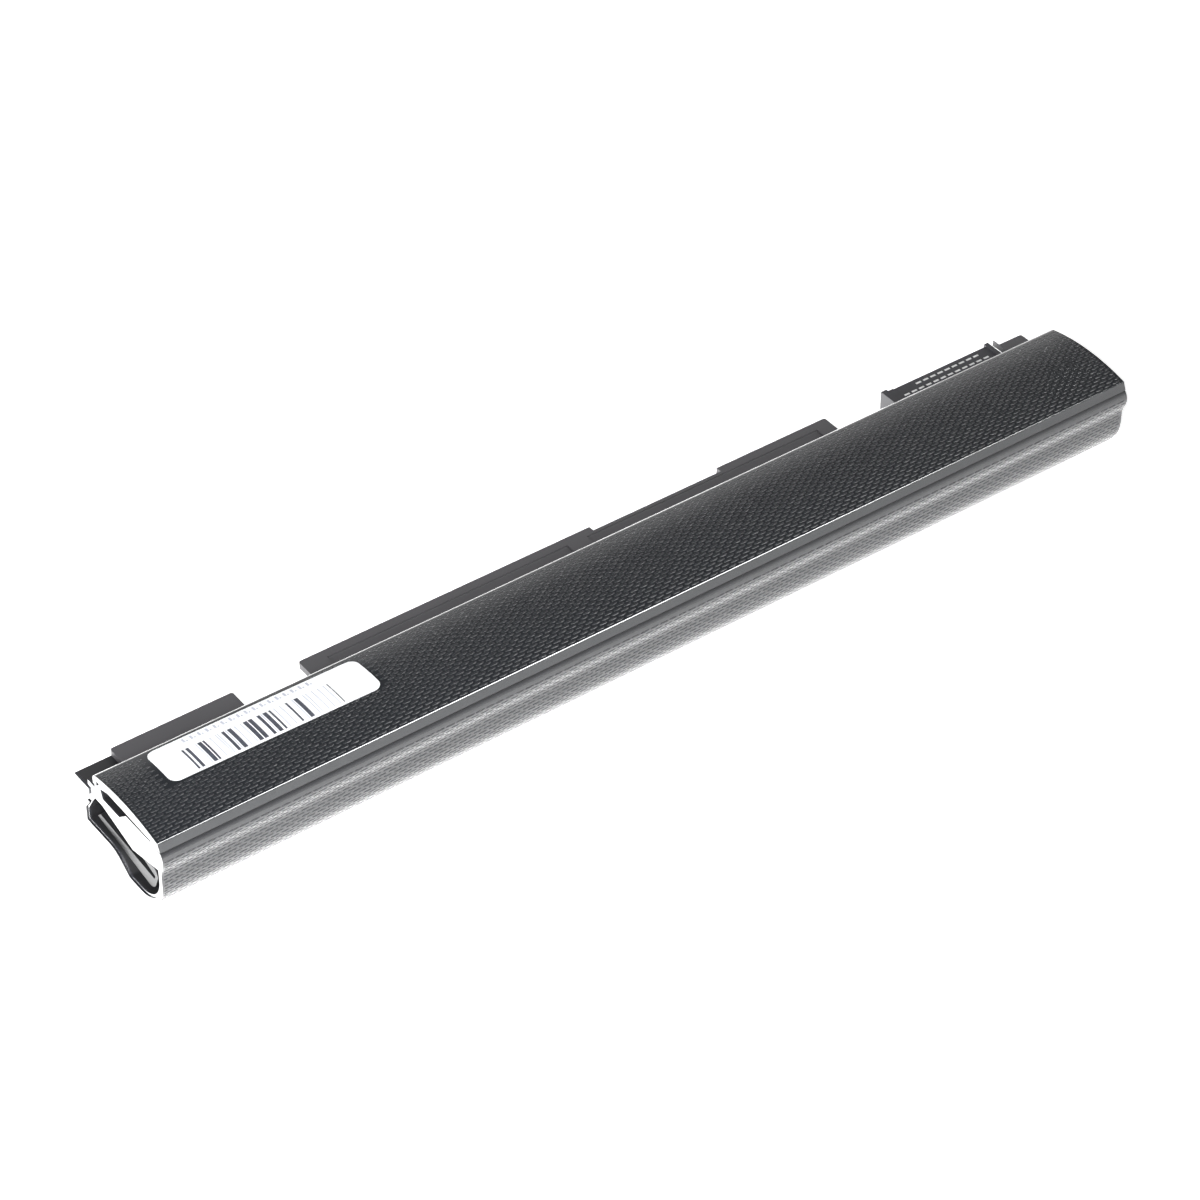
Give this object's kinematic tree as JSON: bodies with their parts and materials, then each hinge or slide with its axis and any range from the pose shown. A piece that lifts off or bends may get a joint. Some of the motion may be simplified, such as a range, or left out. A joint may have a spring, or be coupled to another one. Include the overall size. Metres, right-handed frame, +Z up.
{
  "type": "laptop battery",
  "caption": "Slim laptop battery bar with a crowned textured cover, a bellied lower shell, rear slide-in flanges with latch notches, a contact block and an open pocket at one end.",
  "frame": {"origin": "centre of the bounding box's bottom face, under the belly", "axes": "+X along the bar to its connector end, +Y to the rear flanges, +Z up to the crowned cover"},
  "size_m": [0.262, 0.036, 0.0231],
  "materials": {
    "black_lead": "smooth",
    "board_laminate": "solder mask",
    "can_steel": "nickel plated",
    "capacitor_ceramic": "ceramic",
    "chip_resin": "moulded",
    "connector_plastic": "satin",
    "contact_metal": "gold flash",
    "cover_plastic": "moulded, fine raised weave",
    "end_plastic": "gloss",
    "foam": "foam",
    "frame_plastic": "fine matte",
    "fuse_ceramic": "ceramic",
    "label_paper": "coated",
    "nickel_strip": "rolled",
    "resistor_metal": "rolled",
    "ring_paper": "plain",
    "shell_plastic": "moulded, fine raised weave",
    "sleeve_film": "shrunk film",
    "thermistor_resin": "dipped",
    "white_lead": "smooth"
  },
  "bodies": {
    "root": {"barcode_label": "label_paper", "bottom_shell": "shell_plastic", "capacitor_1": "capacitor_ceramic", "capacitor_2": "capacitor_ceramic", "capacitor_3": "capacitor_ceramic", "capacitor_4": "capacitor_ceramic", "cell_1": "can_steel", "cell_1_sleeve": "sleeve_film", "cell_2": "can_steel", "cell_2_sleeve": "sleeve_film", "cell_3": "can_steel", "cell_3_sleeve": "sleeve_film", "cell_pad_1": "foam", "cell_pad_2": "foam", "cell_pad_3": "foam", "charge_switch": "chip_resin", "chemical_fuse": "fuse_ceramic", "connector_housing": "connector_plastic", "contact_1": "contact_metal", "contact_2": "contact_metal", "contact_3": "contact_metal", "contact_4": "contact_metal", "contact_5": "contact_metal", "contact_6": "contact_metal", "contact_7": "contact_metal", "contact_8": "contact_metal", "discharge_switch": "chip_resin", "end_pad_left": "foam", "end_pad_right": "foam", "insulator_ring_1": "ring_paper", "insulator_ring_2": "ring_paper", "insulator_ring_3": "ring_paper", "left_end_cap": "end_plastic", "link_1": "nickel_strip", "link_2": "nickel_strip", "protection_board": "board_laminate", "protector_chip": "chip_resin", "rear_frame": "frame_plastic", "right_end_cap": "end_plastic", "sense_resistor": "resistor_metal", "sensing_chip": "chip_resin", "strip_negative": "nickel_strip", "strip_positive": "nickel_strip", "thermistor": "thermistor_resin", "top_cover": "cover_plastic", "wire_negative": "black_lead", "wire_sense_1": "white_lead", "wire_sense_2": "white_lead"}
  },
  "joints": []
}
